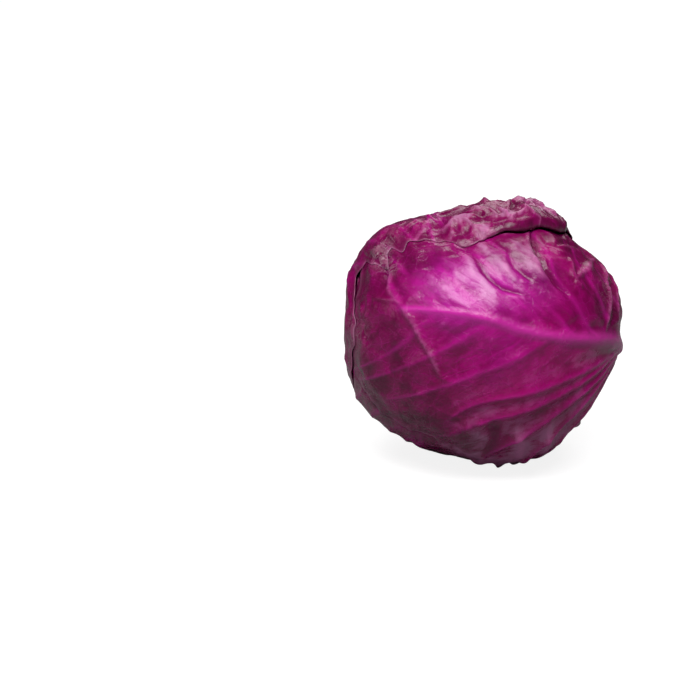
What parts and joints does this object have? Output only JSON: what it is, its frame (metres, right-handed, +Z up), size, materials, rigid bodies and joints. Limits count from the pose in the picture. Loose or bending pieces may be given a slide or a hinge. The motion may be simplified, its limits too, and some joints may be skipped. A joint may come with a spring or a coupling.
{
  "type": "red cabbage head",
  "caption": "Whole red cabbage head lying on its side: a dense heart and cut stem wrapped in overlapping waxy, ribbed leaves, the top one curling free.",
  "frame": {"origin": "on the surface the head rests on, under the middle of its bounding box", "axes": "+Z up, +X towards the side where the cut stem is, -Y towards the leaf seen in front"},
  "size_m": [0.1662, 0.1648, 0.1588],
  "materials": {
    "leaf": "waxy, satin",
    "heart": "smooth, satin",
    "stem": "cut, matte"
  },
  "bodies": {
    "root": {"heart": "heart", "stem": "stem", "wrapper_leaf_1": "leaf", "wrapper_leaf_2": "leaf", "wrapper_leaf_3": "leaf", "wrapper_leaf_4": "leaf", "wrapper_leaf_5": "leaf"}
  },
  "joints": []
}
